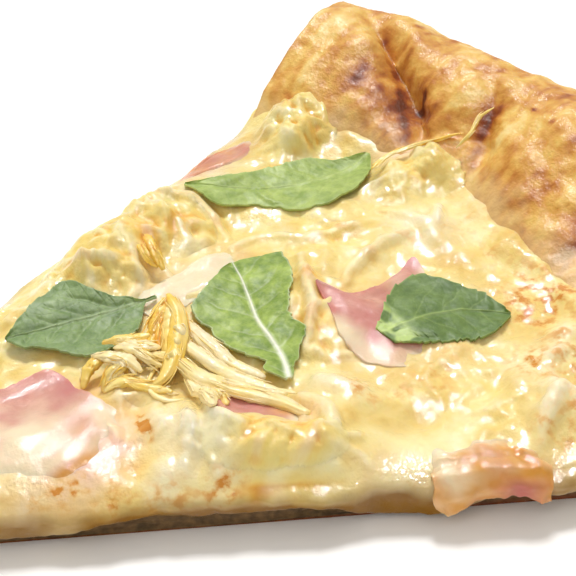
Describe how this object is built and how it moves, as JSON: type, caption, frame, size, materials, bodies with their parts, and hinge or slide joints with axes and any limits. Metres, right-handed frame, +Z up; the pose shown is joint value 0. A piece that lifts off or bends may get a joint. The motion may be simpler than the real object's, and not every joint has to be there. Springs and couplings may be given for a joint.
{
  "type": "pizza slice",
  "caption": "Wedge of baked pizza with a puffy rim, melted cheese, torn ham, shredded chicken and green leaves, lying flat as food on a plate or board.",
  "frame": {"origin": "middle of the bounding box of the slice in plan, on the surface that the underside of its dough rests on", "axes": "+X from the tip to the middle of the rim, +Z up out of the toppings, +Y across the wedge to the cut side that is far from the viewer"},
  "size_m": [0.1896, 0.1595, 0.0249],
  "materials": {
    "baked_crust": "baked dough, golden brown, satin",
    "melted_cheese": "melted cheese, glossy and a little uneven",
    "cooked_ham": "cooked ham, pink, moist",
    "shredded_chicken": "shredded cooked chicken, fibrous, satin",
    "leaf_grey_green": "limp leaf, grey green, satin",
    "leaf_light_green": "limp leaf, light green, satin",
    "leaf_bright_green": "limp leaf, bright green, satin",
    "leaf_dark_green": "limp leaf, dark green, satin"
  },
  "bodies": {
    "root": {"crust": "baked_crust", "cheese": "melted_cheese", "ham_near_tip": "cooked_ham", "ham_middle": "cooked_ham", "ham_under_chicken": "cooked_ham", "ham_far_middle": "cooked_ham", "ham_far_edge": "cooked_ham", "ham_near_edge": "cooked_ham", "chicken_middle": "shredded_chicken", "chicken_far": "shredded_chicken", "chicken_rim_end": "shredded_chicken", "chicken_rim": "shredded_chicken", "chicken_near_edge": "shredded_chicken", "leaf_tip_side": "leaf_grey_green", "leaf_far": "leaf_light_green", "leaf_middle": "leaf_bright_green", "leaf_rim_side": "leaf_dark_green"}
  },
  "joints": []
}
